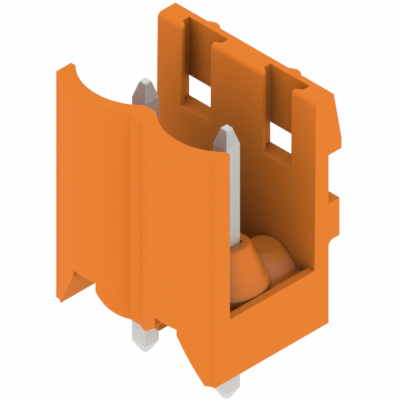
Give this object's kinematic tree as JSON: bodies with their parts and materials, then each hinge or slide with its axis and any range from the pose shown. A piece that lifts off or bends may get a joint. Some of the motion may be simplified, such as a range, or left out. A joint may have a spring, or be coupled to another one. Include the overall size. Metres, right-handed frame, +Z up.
{
  "type": "pin header",
  "caption": "Shrouded board header with square pins, a scalloped wall, a latch wall with keyhole slots and open ends, for a plug-in cable connector.",
  "frame": {"origin": "on the board's surface, midway along the row of pins", "axes": "+Z up from the board along the pins, +X along the row of pins, +Y towards the latch wall"},
  "size_m": [0.01, 0.0087, 0.0154],
  "materials": {
    "housing": "satin",
    "pins": "satin"
  },
  "bodies": {
    "root": {"housing": "housing", "pin_1": "pins", "pin_2": "pins"}
  },
  "joints": []
}
